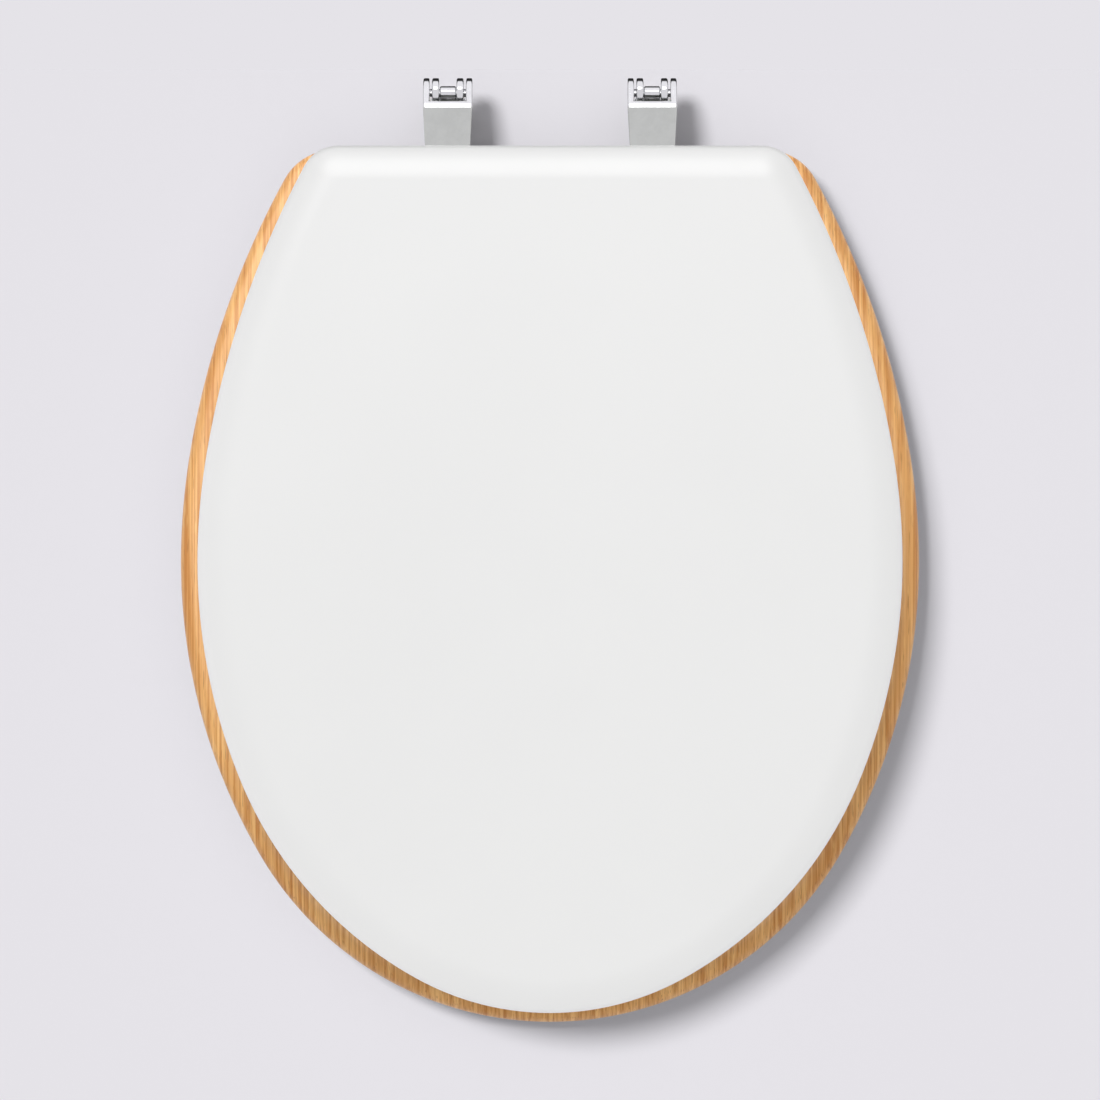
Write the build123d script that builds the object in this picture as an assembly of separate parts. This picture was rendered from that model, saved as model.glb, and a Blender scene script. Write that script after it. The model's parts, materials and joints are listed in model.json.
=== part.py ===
from build123d import *

import math
import os

# A toilet seat: a white lacquered lid over an oak ring, on two chromed hinges that bolt to the bowl.
# Millimetres. X runs across, Y to the rear and Z up. The origin is on the bowl's deck, midway
# between the two fixing studs.

# Seat ring
RING_WIDTH = 370.0
RING_LENGTH = 437.0
RING_THICKNESS = 18.0
RING_WIDEST = 206.5
RING_SIDE_RADIUS = 330.0
RING_SIDE_REACH = 50.0
RING_FLANK_RADIUS = 430.0
RING_NOSE_INSET = 17.0
RING_CORNER_RADIUS = 28.0
RING_TOP_ROUND = 9.0
RING_BOTTOM_CHAMFER = 2.0
RING_REAR_BAND = 88.0
RING_SIDE_BAND = 74.0
RING_FRONT_BAND = 74.0
OPENING_WIDEST = 132.0
OPENING_ROUND = 10.0

# Lid
LID_WIDTH = 349.5
LID_LENGTH = 430.0
LID_THICKNESS = 17.0
LID_WIDEST = 206.5
LID_SIDE_RADIUS = 319.0
LID_SIDE_REACH = 50.0
LID_FLANK_RADIUS = 468.0
LID_CORNER_RADIUS = 19.0
LID_PILLOW_WIDTH = 17.0
LID_PILLOW_RADIUS = 45.0
LID_EDGE_RADIUS = 5.0
LID_BOTTOM_CHAMFER = 1.5

# Hinges
HINGE_PITCH = 102.0
HINGE_OVERHANG = 28.0
HINGE_WIDTH = 24.6
CHEEK_THICKNESS = 3.2
KNUCKLE_GAP = 1.2
ARM_THICKNESS = 3.6
KNUCKLE_RADIUS = 7.5
KNUCKLE_CLEARANCE = 0.5
PLATE_THICKNESS = 3.0
STRAP_WIDTH = 22.5
STRAP_LENGTH = 46.0
STRAP_SCREW_SPACING = 20.0
LIP_SETBACK = 7.9
LIP_LENGTH = 3.2
LIP_ROUND = 1.2
CHEEK_LENGTH = 16.0
YOKE_LENGTH = 9.0
YOKE_CLEARANCE = 0.5
PIN_DIAMETER = 4.0
PIN_CLEARANCE = 0.05
PIN_CHAMFER = 0.4

# Hinge posts, which stand on the bowl
EYE_DIAMETER = 7.0
EYE_CLEARANCE = 0.3
POST_SETBACK = 6.0
COLUMN_DEPTH = 10.0
BOSS_DIAMETER = 16.0
BOSS_HEIGHT = 7.0
FOOT_DIAMETER = 20.0
FOOT_THICKNESS = 2.5

# Fixings through the bowl's deck
DECK_THICKNESS = 18.0
SHANK_DIAMETER = 8.0
THREAD_DIAMETER = 7.2
THREAD_CLEARANCE = 0.1
THREAD_ENGAGEMENT = 6.0
STUD_TAIL = 42.0
STUD_CHAMFER = 1.0
DECK_PAD_THICKNESS = 1.5
DECK_PAD_DIAMETER = 21.0
CONE_HEIGHT = 8.0
CONE_SMALL_DIAMETER = 14.0
CONE_LARGE_DIAMETER = 24.0
WASHER_DIAMETER = 26.0
WASHER_THICKNESS = 1.6
NUT_DIAMETER = 15.0
NUT_HEIGHT = 10.0
WING_SPAN = 40.0
WING_THICKNESS = 3.2
WING_RISE = 7.0

# Buffers
SEAT_BUFFER_LENGTH = 44.0
SEAT_BUFFER_WIDTH = 15.0
SEAT_BUFFER_HEIGHT = 8.0
LID_BUFFER_DIAMETER = 18.0
LID_BUFFER_HEIGHT = 7.0
BUFFER_CHAMFER = 1.5
BUFFER_WELL_DIAMETER = 8.4
BUFFER_FLOOR = 3.0
SEAT_BUFFER_ANGLE = 31.0
LID_BUFFER_ANGLE = 42.0

# Wood screws
SCREW_DIAMETER = 3.8
SCREW_LENGTH = 14.0
SCREW_HEAD_DIAMETER = 7.4
SCREW_HEAD_HEIGHT = 2.4
SCREW_TIP = 3.0
SCREW_CLEARANCE = 0.05

# Heights and places that follow from the sizes above
RING_BOTTOM = SEAT_BUFFER_HEIGHT
RING_TOP = RING_BOTTOM + RING_THICKNESS
LID_BOTTOM = RING_TOP + LID_BUFFER_HEIGHT
LID_TOP = LID_BOTTOM + LID_THICKNESS
PLATE_RISE = KNUCKLE_RADIUS + KNUCKLE_CLEARANCE
PIN_Z = LID_BOTTOM - PLATE_THICKNESS - PLATE_RISE
PIN_Y = POST_SETBACK
REAR_Y = PIN_Y - HINGE_OVERHANG
POCKET_WIDTH = HINGE_WIDTH - 2 * CHEEK_THICKNESS
YOKE_WIDTH = POCKET_WIDTH - 2 * KNUCKLE_GAP
CLEVIS_WIDTH = YOKE_WIDTH - 2 * ARM_THICKNESS
STUD_HOLE_RADIUS = THREAD_DIAMETER / 2 + THREAD_CLEARANCE
OPENING_LENGTH = RING_LENGTH - RING_REAR_BAND - RING_FRONT_BAND
OPENING_REAR_Y = REAR_Y - RING_REAR_BAND
SIDES = {"left": -1, "right": 1}


def rear_edges(width, widest, side_radius, side_reach, flank_radius, corner_radius):
    """The outline from the middle of the straight rear edge round the right corner to the widest point.

    A flatter flank runs from the corner to the side arc, which starts side_reach behind the widest point.
    """
    side = Vector(width / 2 - side_radius, -widest)
    heading = Vector(math.sqrt(side_radius**2 - side_reach**2), side_reach).normalized()
    flank = side + heading * (side_radius - flank_radius)
    drop = flank.Y + corner_radius
    corner_x = flank.X + math.sqrt((flank_radius - corner_radius) ** 2 - drop**2)
    corner = Vector(corner_x, -corner_radius)
    joint = flank + (corner - flank).normalized() * flank_radius
    rear = Line((0, 0), (corner_x, 0))
    bend = TangentArc(rear @ 1, joint, tangent=rear % 1)
    flank_arc = TangentArc(bend @ 1, side + heading * side_radius, tangent=bend % 1)
    side_arc = TangentArc(flank_arc @ 1, (width / 2, -widest), tangent=flank_arc % 1)
    return [rear, bend, flank_arc, side_arc]


def nose_edges(width, length, widest, inset):
    """The outline from the widest point to the front tip, as a side arc and a nose arc that meet smoothly."""
    half = width / 2
    depth = length - widest
    nose_radius = half - inset
    side_radius = depth + (depth - half) ** 2 / (2 * inset)
    side = Vector(half - side_radius, -widest)
    nose = Vector(0, nose_radius - length)
    joint = side + (nose - side).normalized() * side_radius
    shoulder = TangentArc((half, -widest), joint, tangent=(0, -1))
    tip = TangentArc(shoulder @ 1, (0, -length), tangent=shoulder % 1)
    return [shoulder, tip]


def oval_edges(half, depth):
    """A quarter of an oval, from its widest point at (half, 0) to its tip at (0, -depth).

    Side, shoulder and nose arcs meet smoothly and stay close to an ellipse.
    """
    side_radius = depth**2 / half
    nose_radius = half**2 / depth
    shoulder_radius = math.sqrt(half * depth)
    side = Vector(half - side_radius, 0)
    nose = Vector(0, nose_radius - depth)
    gap = (nose - side).length
    reach = side_radius - shoulder_radius
    along = (reach**2 - (shoulder_radius - nose_radius) ** 2 + gap**2) / (2 * gap)
    across = math.sqrt(reach**2 - along**2)
    heading = (nose - side).normalized()
    shoulder = side + heading * along + Vector(-heading.Y, heading.X) * across
    first = side + (shoulder - side) * (side_radius / reach)
    second = shoulder + (nose - shoulder) * (shoulder_radius / (shoulder_radius - nose_radius))
    side_arc = TangentArc((half, 0), first, tangent=(0, -1))
    shoulder_arc = TangentArc(first, second, tangent=side_arc % 1)
    nose_arc = TangentArc(second, (0, -depth), tangent=shoulder_arc % 1)
    return [side_arc, shoulder_arc, nose_arc]


def mirrored_wire(edges, rear_y, z):
    """A closed outline from its right half, with its rear edge at rear_y."""
    half = Curve() + edges
    whole = half + mirror(half, about=Plane.YZ)
    return Wire(whole.edges()).moved(Location((0, rear_y, z)))


def ring_wire(z):
    arcs = (RING_SIDE_RADIUS, RING_SIDE_REACH, RING_FLANK_RADIUS, RING_CORNER_RADIUS)
    rear = rear_edges(RING_WIDTH, RING_WIDEST, *arcs)
    nose = nose_edges(RING_WIDTH, RING_LENGTH, RING_WIDEST, RING_NOSE_INSET)
    return mirrored_wire(rear + nose, REAR_Y, z)


def opening_wire(z):
    """The egg-shaped opening: two half ovals that share their widest line."""
    half = RING_WIDTH / 2 - RING_SIDE_BAND
    rear = mirror(Curve() + oval_edges(half, OPENING_WIDEST), about=Plane.XZ)
    front = Curve() + oval_edges(half, OPENING_LENGTH - OPENING_WIDEST)
    edges = (rear + front).moved(Location((0, -OPENING_WIDEST))).edges()
    return mirrored_wire(edges, OPENING_REAR_Y, z)


def lid_wire(z):
    arcs = (LID_SIDE_RADIUS, LID_SIDE_REACH, LID_FLANK_RADIUS, LID_CORNER_RADIUS)
    rear = rear_edges(LID_WIDTH, LID_WIDEST, *arcs)
    front = Curve() + oval_edges(LID_WIDTH / 2, LID_LENGTH - LID_WIDEST)
    return mirrored_wire(rear + front.moved(Location((0, -LID_WIDEST))).edges(), REAR_Y, z)


def band_middle(angle):
    """The point midway across the ring's band, on a ray from the opening's centre.

    The angle is from the rear, clockwise seen from above.
    """
    centre = Vector(0, OPENING_REAR_Y - OPENING_LENGTH / 2)
    heading = Vector(0, 1).rotate(Axis.Z, -angle)
    ray = Line(centre, centre + heading * RING_LENGTH)
    band = Face(ring_wire(0), [opening_wire(0)])
    return (band & ray).edges()[0] @ 0.5


def seat_buffer_angles():
    """Where the four buffers under the ring lie, two near its hinges and two near its front."""
    ends = (SEAT_BUFFER_ANGLE, 180 - SEAT_BUFFER_ANGLE)
    return [sign * angle for angle in ends for sign in SIDES.values()]


def seat_buffer_places():
    return [band_middle(angle) for angle in seat_buffer_angles()]


def lid_buffer_places():
    return [band_middle(sign * (180 - LID_BUFFER_ANGLE)) for sign in SIDES.values()]


def strap_screw_lines():
    """The Y of the two screws that hold each strap, from the rear edge forwards."""
    first = REAR_Y - (STRAP_LENGTH - STRAP_SCREW_SPACING) / 2
    return [first, first - STRAP_SCREW_SPACING]


def strap_screw_places():
    return [Vector(sign * HINGE_PITCH / 2, y) for sign in SIDES.values() for y in strap_screw_lines()]


def wood_screw():
    """A countersunk wood screw that points up, with its head's flat face at Z = 0."""
    head = SCREW_HEAD_DIAMETER / 2
    shank = SCREW_DIAMETER / 2
    profile = Polyline(
        (0, 0),
        (head, 0),
        (shank, SCREW_HEAD_HEIGHT),
        (shank, SCREW_LENGTH - SCREW_TIP),
        (0, SCREW_LENGTH),
        close=True,
    )
    return revolve(Plane.XZ * make_face(profile), Axis.Z)


def screw_hole():
    """The space that a wood screw takes, with its clearance."""
    shank = SCREW_DIAMETER / 2 + SCREW_CLEARANCE
    head = SCREW_HEAD_DIAMETER / 2 + SCREW_CLEARANCE
    bore = extrude(Circle(shank), SCREW_LENGTH + SCREW_CLEARANCE)
    sink = Cone(head, shank, SCREW_HEAD_HEIGHT, align=(Align.CENTER, Align.CENTER, Align.MIN))
    return bore + sink


def at_places(shape, places, z):
    return [Pos(place.X, place.Y, z) * shape for place in places]


def seat_ring():
    band = Face(ring_wire(RING_BOTTOM), [opening_wire(RING_BOTTOM)])
    slab = extrude(band, RING_THICKNESS, dir=(0, 0, 1))
    top = slab.faces().sort_by(Axis.Z)[-1]
    slab = fillet(top.outer_wire().edges(), RING_TOP_ROUND)
    top = slab.faces().sort_by(Axis.Z)[-1]
    slab = fillet(top.inner_wires()[0].edges(), OPENING_ROUND)
    slab = chamfer(slab.faces().sort_by(Axis.Z)[0].edges(), RING_BOTTOM_CHAMFER)
    holes = at_places(screw_hole(), strap_screw_places(), RING_BOTTOM - PLATE_THICKNESS)
    holes += at_places(screw_hole(), seat_buffer_places(), RING_BOTTOM - BUFFER_FLOOR)
    return slab - holes


def lid_panel():
    """A flat panel whose top rolls off to the edge: a wide shallow arc, then a small one to the side.

    The rim is one section carried round the outline, and the core fills it.
    """
    sine = (LID_PILLOW_WIDTH - LID_EDGE_RADIUS) / (LID_PILLOW_RADIUS - LID_EDGE_RADIUS)
    cosine = math.sqrt(1 - sine**2)
    start = Vector(-LID_PILLOW_WIDTH, LID_THICKNESS)
    turn = start + Vector(LID_PILLOW_RADIUS * sine, -LID_PILLOW_RADIUS * (1 - cosine))
    end = Vector(0, turn.Y - LID_EDGE_RADIUS * cosine)
    pillow = TangentArc(start, turn, tangent=(1, 0))
    edge = TangentArc(turn, end, tangent=pillow % 1)
    foot = Polyline(end, (0, LID_BOTTOM_CHAMFER), (-LID_BOTTOM_CHAMFER, 0), (start.X, 0), start)
    rear = Plane(origin=(0, REAR_Y, LID_BOTTOM), x_dir=(0, 1, 0), z_dir=(1, 0, 0))
    outline = lid_wire(LID_BOTTOM)
    rim = sweep(rear * make_face([pillow, edge, foot]), path=outline)
    core = extrude(Face(outline.offset_2d(-LID_PILLOW_WIDTH)), LID_THICKNESS, dir=(0, 0, 1))
    holes = at_places(screw_hole(), strap_screw_places(), LID_BOTTOM - PLATE_THICKNESS)
    holes += at_places(screw_hole(), lid_buffer_places(), LID_BOTTOM - BUFFER_FLOOR)
    return rim + core - holes


def strap_plan(rear_width, rear_y, straight_y):
    """Plan of a hinge strap from the pin: straight, tapering to the rear edge, then a round-ended strap."""
    half = STRAP_WIDTH / 2
    round_y = -HINGE_OVERHANG - STRAP_LENGTH + half
    side = Polyline(
        (0, rear_y),
        (rear_width / 2, rear_y),
        (rear_width / 2, straight_y),
        (half, -HINGE_OVERHANG),
        (half, round_y),
    )
    tip = CenterArc((0, round_y), half, 0, -90)
    outline = side + tip
    return make_face(outline + mirror(outline, about=Plane.YZ))


def pin_hole():
    return Cylinder(PIN_DIAMETER / 2 + PIN_CLEARANCE, 2 * HINGE_WIDTH, rotation=(0, 90, 0))


def strap_holes(z):
    return at_places(screw_hole(), [Vector(0, y - PIN_Y) for y in strap_screw_lines()], z)


def knuckle_profile(corners):
    """Side view of a knuckle with the tangents that join it to the given corners."""
    return make_hull([*Circle(KNUCKLE_RADIUS).edges(), *Polyline(*corners).edges()])


def lid_leaf():
    """The lid's leaf: a channel with two cheeks that end in the outer knuckles, and a strap under the lid.

    Its own frame is the pin's middle.
    """
    rise = PLATE_RISE + PLATE_THICKNESS
    reach = -LIP_SETBACK - CHEEK_LENGTH
    plan = strap_plan(HINGE_WIDTH, KNUCKLE_RADIUS, -LIP_SETBACK)
    side = knuckle_profile([(-LIP_SETBACK, rise), (reach, rise), (reach, PLATE_RISE)])
    channel = extrude(Plane.YZ * side, HINGE_WIDTH / 2, both=True)
    channel &= extrude(plan, rise + KNUCKLE_RADIUS, both=True)
    strap = Pos(0, 0, PLATE_RISE) * extrude(plan, PLATE_THICKNESS)
    depth = HINGE_OVERHANG
    behind = Box(HINGE_WIDTH * 2, depth, depth, align=(Align.CENTER, Align.MIN, Align.CENTER))
    leaf = channel + (strap - Pos(0, -LIP_SETBACK, PLATE_RISE) * behind)
    hollow = Box(POCKET_WIDTH, 2 * depth, depth, align=(Align.CENTER, Align.CENTER, Align.MAX))
    leaf -= Pos(0, 0, PLATE_RISE) * hollow
    mouth = Box(POCKET_WIDTH, depth, 2 * depth, align=(Align.CENTER, Align.MIN, Align.CENTER))
    leaf -= Pos(0, LIP_LENGTH - LIP_SETBACK, 0) * mouth
    back = leaf.edges().filter_by(Axis.X).group_by(Axis.Z)[-1].sort_by(Axis.Y)[-1]
    leaf = fillet(back, LIP_ROUND)
    return leaf - pin_hole() - strap_holes(PLATE_RISE)


def seat_leaf():
    """The ring's leaf: a yoke whose two arms end in the inner knuckles, and a strap under the ring."""
    top = RING_BOTTOM - PIN_Z
    under = top - PLATE_THICKNESS
    heel = YOKE_CLEARANCE - HINGE_OVERHANG
    side = knuckle_profile([(heel, top), (heel, under)])
    yoke = extrude(Plane.YZ * side, YOKE_WIDTH / 2, both=True)
    depth = HINGE_OVERHANG
    slot = Box(CLEVIS_WIDTH, 2 * depth, 2 * depth, align=(Align.CENTER, Align.MIN, Align.CENTER))
    yoke -= Pos(0, heel + YOKE_LENGTH, 0) * slot
    plan = strap_plan(YOKE_WIDTH, heel + YOKE_LENGTH, heel + YOKE_LENGTH / 2)
    strap = Pos(0, 0, under) * extrude(plan, PLATE_THICKNESS)
    return yoke + strap - pin_hole() - strap_holes(under)


def hinge_pin():
    pin = Cylinder(PIN_DIAMETER / 2, HINGE_WIDTH, rotation=(0, 90, 0))
    return chamfer(pin.edges().filter_by(GeomType.CIRCLE), PIN_CHAMFER)


def hinge_post():
    """The post on the bowl: a round foot and boss, and a column that leans back to the eye of the pin."""
    eye_width = CLEVIS_WIDTH - 2 * EYE_CLEARANCE
    foot_z = DECK_PAD_THICKNESS - PIN_Z
    boss_z = foot_z + BOSS_HEIGHT
    low = [(-POST_SETBACK - COLUMN_DEPTH / 2, boss_z), (-POST_SETBACK + COLUMN_DEPTH / 2, boss_z)]
    side = make_hull([*Circle(EYE_DIAMETER / 2).edges(), *Line(*low).edges()])
    column = extrude(Plane.YZ * side, eye_width / 2, both=True)
    foot = extrude(Circle(FOOT_DIAMETER / 2), FOOT_THICKNESS)
    boss = extrude(Circle(BOSS_DIAMETER / 2), BOSS_HEIGHT)
    thread = extrude(Circle(STUD_HOLE_RADIUS), THREAD_ENGAGEMENT + THREAD_CLEARANCE)
    base = foot + boss - thread
    return column + Pos(0, -POST_SETBACK, foot_z) * base - pin_hole()


def fixing_stud():
    """A stud from the post down through the deck: thread, plain shank in the deck, then a long thread."""
    thread = THREAD_DIAMETER / 2
    shank = SHANK_DIAMETER / 2
    top = DECK_PAD_THICKNESS + THREAD_ENGAGEMENT
    bottom = -DECK_THICKNESS - STUD_TAIL
    profile = Polyline(
        (0, top),
        (thread - STUD_CHAMFER, top),
        (thread, top - STUD_CHAMFER),
        (thread, 0),
        (shank, 0),
        (shank, -DECK_THICKNESS),
        (thread, -DECK_THICKNESS),
        (thread, bottom + STUD_CHAMFER),
        (thread - STUD_CHAMFER, bottom),
        (0, bottom),
        close=True,
    )
    return revolve(Plane.XZ * make_face(profile), Axis.Z)


def drilled_disc(diameter, thickness):
    return extrude(Circle(diameter / 2) - Circle(STUD_HOLE_RADIUS), thickness)


def cone_washer():
    """The rubber cone that grips the deck's hole from below, narrow end up."""
    cone = Cone(CONE_LARGE_DIAMETER / 2, CONE_SMALL_DIAMETER / 2, CONE_HEIGHT)
    return cone - Cylinder(STUD_HOLE_RADIUS, 2 * CONE_HEIGHT)


def wing_nut():
    """A wing nut whose top face is at Z = 0, with its wings hanging down and out along X."""
    hub = extrude(Circle(NUT_DIAMETER / 2), -NUT_HEIGHT)
    tip = WING_RISE / 2
    low = -NUT_HEIGHT - WING_RISE + tip
    end = Pos(WING_SPAN / 2 - tip, low) * Circle(tip)
    root = Line((0, 0), (0, -NUT_HEIGHT))
    wing = make_hull([*end.edges(), *root.edges()])
    wings = Plane.XZ * (wing + mirror(wing, about=Plane.YZ))
    nut = hub + extrude(wings, WING_THICKNESS / 2, both=True)
    below = Cylinder(NUT_DIAMETER / 2, WING_RISE, align=(Align.CENTER, Align.CENTER, Align.MAX))
    nut -= Pos(0, 0, -NUT_HEIGHT) * below
    return nut - Cylinder(STUD_HOLE_RADIUS, 4 * NUT_HEIGHT)


def buffer_well(height):
    """The screw's well in a buffer that hangs down from Z = 0."""
    well = extrude(Circle(BUFFER_WELL_DIAMETER / 2), -height)
    return Pos(0, 0, -BUFFER_FLOOR) * (well + screw_hole())


def hung_buffer(plan, height):
    pad = extrude(plan, -height)
    pad = chamfer(pad.faces().sort_by(Axis.Z)[0].edges(), BUFFER_CHAMFER)
    return pad - buffer_well(height)


def at_hinges(shape):
    return [Pos(sign * HINGE_PITCH / 2, 0, 0) * shape for sign in SIDES.values()]


def each_side(name, shape):
    """The same piece at the left and at the right hinge, as two nodes."""
    return {f"{name}_{side}": piece for side, piece in zip(SIDES, at_hinges(shape))}


def fixings():
    """The pieces that stay on the bowl."""
    cone_z = -DECK_THICKNESS - CONE_HEIGHT
    washer_z = cone_z - WASHER_THICKNESS
    pieces = each_side("hinge_post", Pos(0, PIN_Y, PIN_Z) * hinge_post())
    pairs = {
        "hinge_pins": Pos(0, PIN_Y, PIN_Z) * hinge_pin(),
        "fixing_studs": fixing_stud(),
        "deck_pads": drilled_disc(DECK_PAD_DIAMETER, DECK_PAD_THICKNESS),
        "cone_washers": Pos(0, 0, cone_z + CONE_HEIGHT / 2) * cone_washer(),
        "flat_washers": Pos(0, 0, washer_z) * drilled_disc(WASHER_DIAMETER, WASHER_THICKNESS),
        "wing_nuts": Pos(0, 0, washer_z) * wing_nut(),
    }
    for name, piece in pairs.items():
        pieces[name] = Compound(at_hinges(piece))
    return pieces


def seat():
    """The ring and what lifts with it."""
    pieces = {"seat_ring": seat_ring()}
    pieces.update(each_side("seat_leaf", Pos(0, PIN_Y, PIN_Z) * seat_leaf()))
    pad = hung_buffer(SlotOverall(SEAT_BUFFER_LENGTH, SEAT_BUFFER_WIDTH), SEAT_BUFFER_HEIGHT)
    turned = [Rot(0, 0, -angle) * pad for angle in seat_buffer_angles()]
    places = seat_buffer_places()
    pads = [Pos(place.X, place.Y, RING_BOTTOM) * piece for place, piece in zip(places, turned)]
    strap_z = RING_BOTTOM - PLATE_THICKNESS
    pieces["seat_buffers"] = Compound(pads)
    pieces["seat_leaf_screws"] = Compound(at_places(wood_screw(), strap_screw_places(), strap_z))
    pieces["seat_buffer_screws"] = Compound(at_places(wood_screw(), places, RING_BOTTOM - BUFFER_FLOOR))
    return pieces


def lid():
    """The lid and what lifts with it."""
    pieces = {"lid_panel": lid_panel()}
    pieces.update(each_side("lid_leaf", Pos(0, PIN_Y, PIN_Z) * lid_leaf()))
    pad = hung_buffer(Circle(LID_BUFFER_DIAMETER / 2), LID_BUFFER_HEIGHT)
    places = lid_buffer_places()
    strap_z = LID_BOTTOM - PLATE_THICKNESS
    pieces["lid_buffers"] = Compound(at_places(pad, places, LID_BOTTOM))
    pieces["lid_leaf_screws"] = Compound(at_places(wood_screw(), strap_screw_places(), strap_z))
    pieces["lid_buffer_screws"] = Compound(at_places(wood_screw(), places, LID_BOTTOM - BUFFER_FLOOR))
    return pieces


os.makedirs("parts", exist_ok=True)
for name, shape in {**fixings(), **seat(), **lid()}.items():
    export_step(shape, f"parts/{name}.step")
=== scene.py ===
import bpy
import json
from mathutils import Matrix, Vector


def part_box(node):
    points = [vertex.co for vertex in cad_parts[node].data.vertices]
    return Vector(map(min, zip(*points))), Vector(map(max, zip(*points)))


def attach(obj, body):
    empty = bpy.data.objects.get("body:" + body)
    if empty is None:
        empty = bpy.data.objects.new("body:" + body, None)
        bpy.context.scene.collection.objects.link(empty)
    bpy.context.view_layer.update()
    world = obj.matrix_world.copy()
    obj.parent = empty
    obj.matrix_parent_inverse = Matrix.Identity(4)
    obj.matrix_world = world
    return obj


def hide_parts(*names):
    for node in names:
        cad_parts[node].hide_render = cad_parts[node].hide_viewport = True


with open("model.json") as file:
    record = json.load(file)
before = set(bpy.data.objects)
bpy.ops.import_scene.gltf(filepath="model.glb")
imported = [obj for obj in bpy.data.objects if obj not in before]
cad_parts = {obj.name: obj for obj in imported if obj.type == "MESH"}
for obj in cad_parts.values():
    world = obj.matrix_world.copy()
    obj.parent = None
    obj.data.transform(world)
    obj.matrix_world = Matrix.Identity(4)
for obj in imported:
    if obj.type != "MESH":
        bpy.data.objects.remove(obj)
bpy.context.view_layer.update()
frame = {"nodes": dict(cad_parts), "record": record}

import json
import math

import bmesh
import bpy
from bpy.props import FloatProperty, FloatVectorProperty, PointerProperty
from mathutils import Matrix, Vector

bl_info = {
    "name": "Toilet Seat",
    "version": (1, 0, 0),
    "blender": (4, 5, 0),
    "location": "3D View > Sidebar > Toilet Seat",
    "description": "A white lidded oak toilet seat on chromed hinges, with the fixings under the deck",
    "category": "Object",
}

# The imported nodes: the body and the slot of each, the boxes of the two boards, and the line of the pins
BODY_OF = {node: body for body, nodes in frame["record"]["behaviour"]["bodies"].items() for node in nodes}
SLOT_OF = {row["node"]: row["material_slot"] for row in frame["record"]["subparts"]}
LID_LOW, LID_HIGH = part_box("lid_panel")
RING_LOW, RING_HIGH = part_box("seat_ring")
PIN_Y = frame["record"]["behaviour"]["joints"][0]["pos_m"][1]

# Hinge castings: the round across a packed lid leaf's crest, and where the painted reflection (a brighter
# plating colour before the pin) begins
SIDES = ("left", "right")
CASTINGS = [f"{casting}_{side}" for casting in ("lid_leaf", "seat_leaf", "hinge_post") for side in SIDES]
CAD_CREST_ROUND = 0.0012
GLARE_REACH = 0.0085
GLARE_FADE = 0.0015

# Fineness of the meshes
MERGE = 1e-6
SLIVER = 4e-5
HALF_OUTLINE_STEPS = 120
TURN_WEIGHT = 0.04
ROUND_STEPS = 8
SMALL_ROUND_STEPS = 3
LATHE_STEPS = 32
THREAD_STEPS = 16
EVEN_WEIGHT = 80

# Edges: what counts as flat, sharp or a wall, and the share of the room beside one that its round may take
FLAT_ANGLE = math.radians(0.6)
EDGE_ANGLE = math.radians(32)
WALL_RISE = 0.5
SPAN_ROOM = 0.07
SHARED_ROOM = 0.45
WHOLE_ROOM = 0.90

# Studs and screws: shares of their own sizes, and how far each is turned from the one before
STUD_END = 0.84
CREST_CUT = 0.25
SCREW_CORE = 0.72
SCREW_ROOT = 0.95
HEAD_LIP = 0.125
RECESS_DEPTH = 0.5
RECESS_FLOOR = 0.55
SCREW_TURN = 0.7


def far_lamp(source, degrees, light):
    """Where a far lamp shines from, how wide it looks, and its share of the light on a level surface."""
    return {"source": Vector(source), "width": math.radians(degrees), "light": light}


SKY_LIGHT = 0.28
FLOOR_LAMP = far_lamp(source=(-0.45, 0.40, 1.0), degrees=18, light=0.59)
FILL_LAMP = far_lamp(source=(0.0, 0.0, 1.0), degrees=90, light=0.13)
TENT_LAMP = far_lamp(source=(-0.10, 0.25, 1.0), degrees=150, light=0.32)
LID_LAMP = far_lamp(source=(-0.10, 0.25, 1.0), degrees=150, light=0.252)
RIM_LAMP = far_lamp(source=(-0.24, 1.0, 1.0), degrees=22, light=0.38)
SHEEN_LAMP = far_lamp(source=(-0.25, 1.0, 1.0), degrees=100, light=2.4)
GLEAM_LAMP = far_lamp(source=(-0.06, 0.35, 1.0), degrees=27, light=0.28)
SPARK_LAMP = far_lamp(source=(-0.05, 0.68, 1.0), degrees=18, light=0.045)
EDGE_RISE = 0.25
EDGE_LAMPS = {
    side: far_lamp(source=(*heading, EDGE_RISE), degrees=40, light=light)
    for side, heading, light in (
        ("left", (-1.0, 0.0), 0.040),
        ("right", (1.0, 0.0), 0.035),
        ("front", (0.0, -1.0), 0.040),
        ("rear", (0.0, 1.0), 0.025),
    )
}

# What a mirror sees round it: a dark band low at the rear, and a rear that is brighter above it
DARK_BACK = (0.10, 0.45)
DARK_RISE = (-0.30, -0.02)
DARK_SHARE = 0.03
GLOW_BACK = (0.40, 0.62)
GLOW_GAIN = 0.23


def length(name, text, default):
    """A size in metres that a user may change."""
    return FloatProperty(name=name, description=text, default=default, min=0.0, precision=5, unit="LENGTH")


def colour(name, text, default):
    """A colour that a user may change."""
    return FloatVectorProperty(
        name=name, description=text, default=default, min=0.0, max=1.0, subtype="COLOR"
    )


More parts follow.
